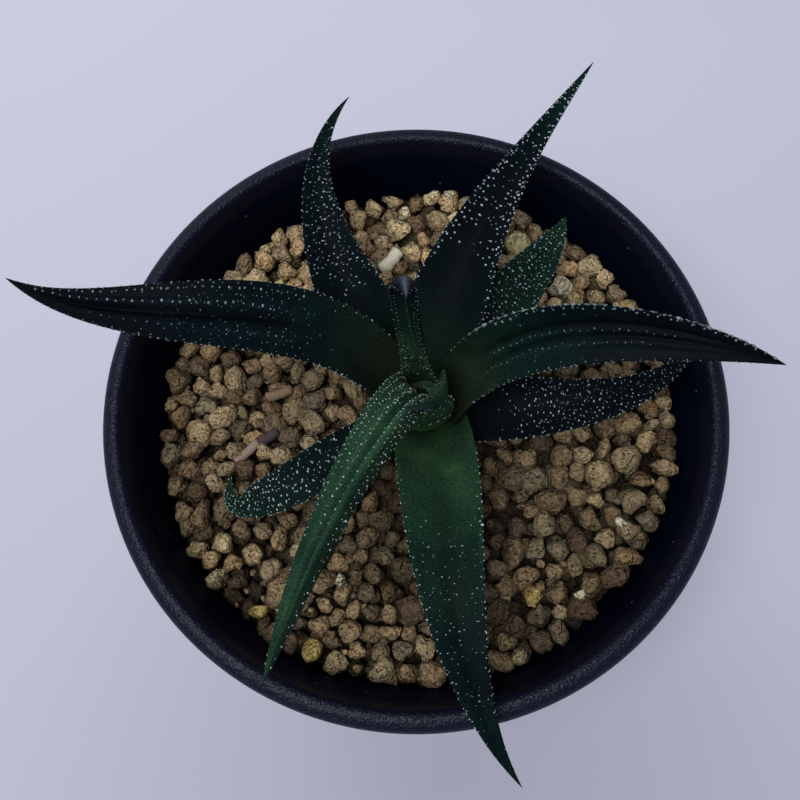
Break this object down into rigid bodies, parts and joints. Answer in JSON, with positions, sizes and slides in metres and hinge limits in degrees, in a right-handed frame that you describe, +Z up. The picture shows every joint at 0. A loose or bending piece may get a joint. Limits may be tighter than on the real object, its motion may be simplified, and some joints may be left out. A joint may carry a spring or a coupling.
{
  "type": "potted zebra haworthia",
  "caption": "Zebra haworthia succulent: a rosette of channelled, tapering dark green leaves with pearly tubercles, rooted in coarse gravel in a round black plastic nursery pot.",
  "frame": {"origin": "centre of the flat underside of the pot's base, on the surface that the pot stands on", "axes": "+Z up the pot's axis, +X to the right and -Y towards the viewer of the picture"},
  "size_m": [0.1115, 0.1155, 0.1275],
  "materials": {
    "pot_plastic": "satin, finely grained",
    "gravel": "matte, porous",
    "stem_tissue": "matte",
    "leaf_tissue": "satin, with pale raised tubercles"
  },
  "bodies": {
    "root": {"pot": "pot_plastic", "gravel_fill": "gravel", "stem": "stem_tissue", "leaf_01": "leaf_tissue", "leaf_02": "leaf_tissue", "leaf_03": "leaf_tissue", "leaf_04": "leaf_tissue", "leaf_05": "leaf_tissue", "leaf_06": "leaf_tissue", "leaf_07": "leaf_tissue", "leaf_08": "leaf_tissue", "leaf_09": "leaf_tissue", "leaf_10": "leaf_tissue", "leaf_11": "leaf_tissue"}
  },
  "joints": []
}
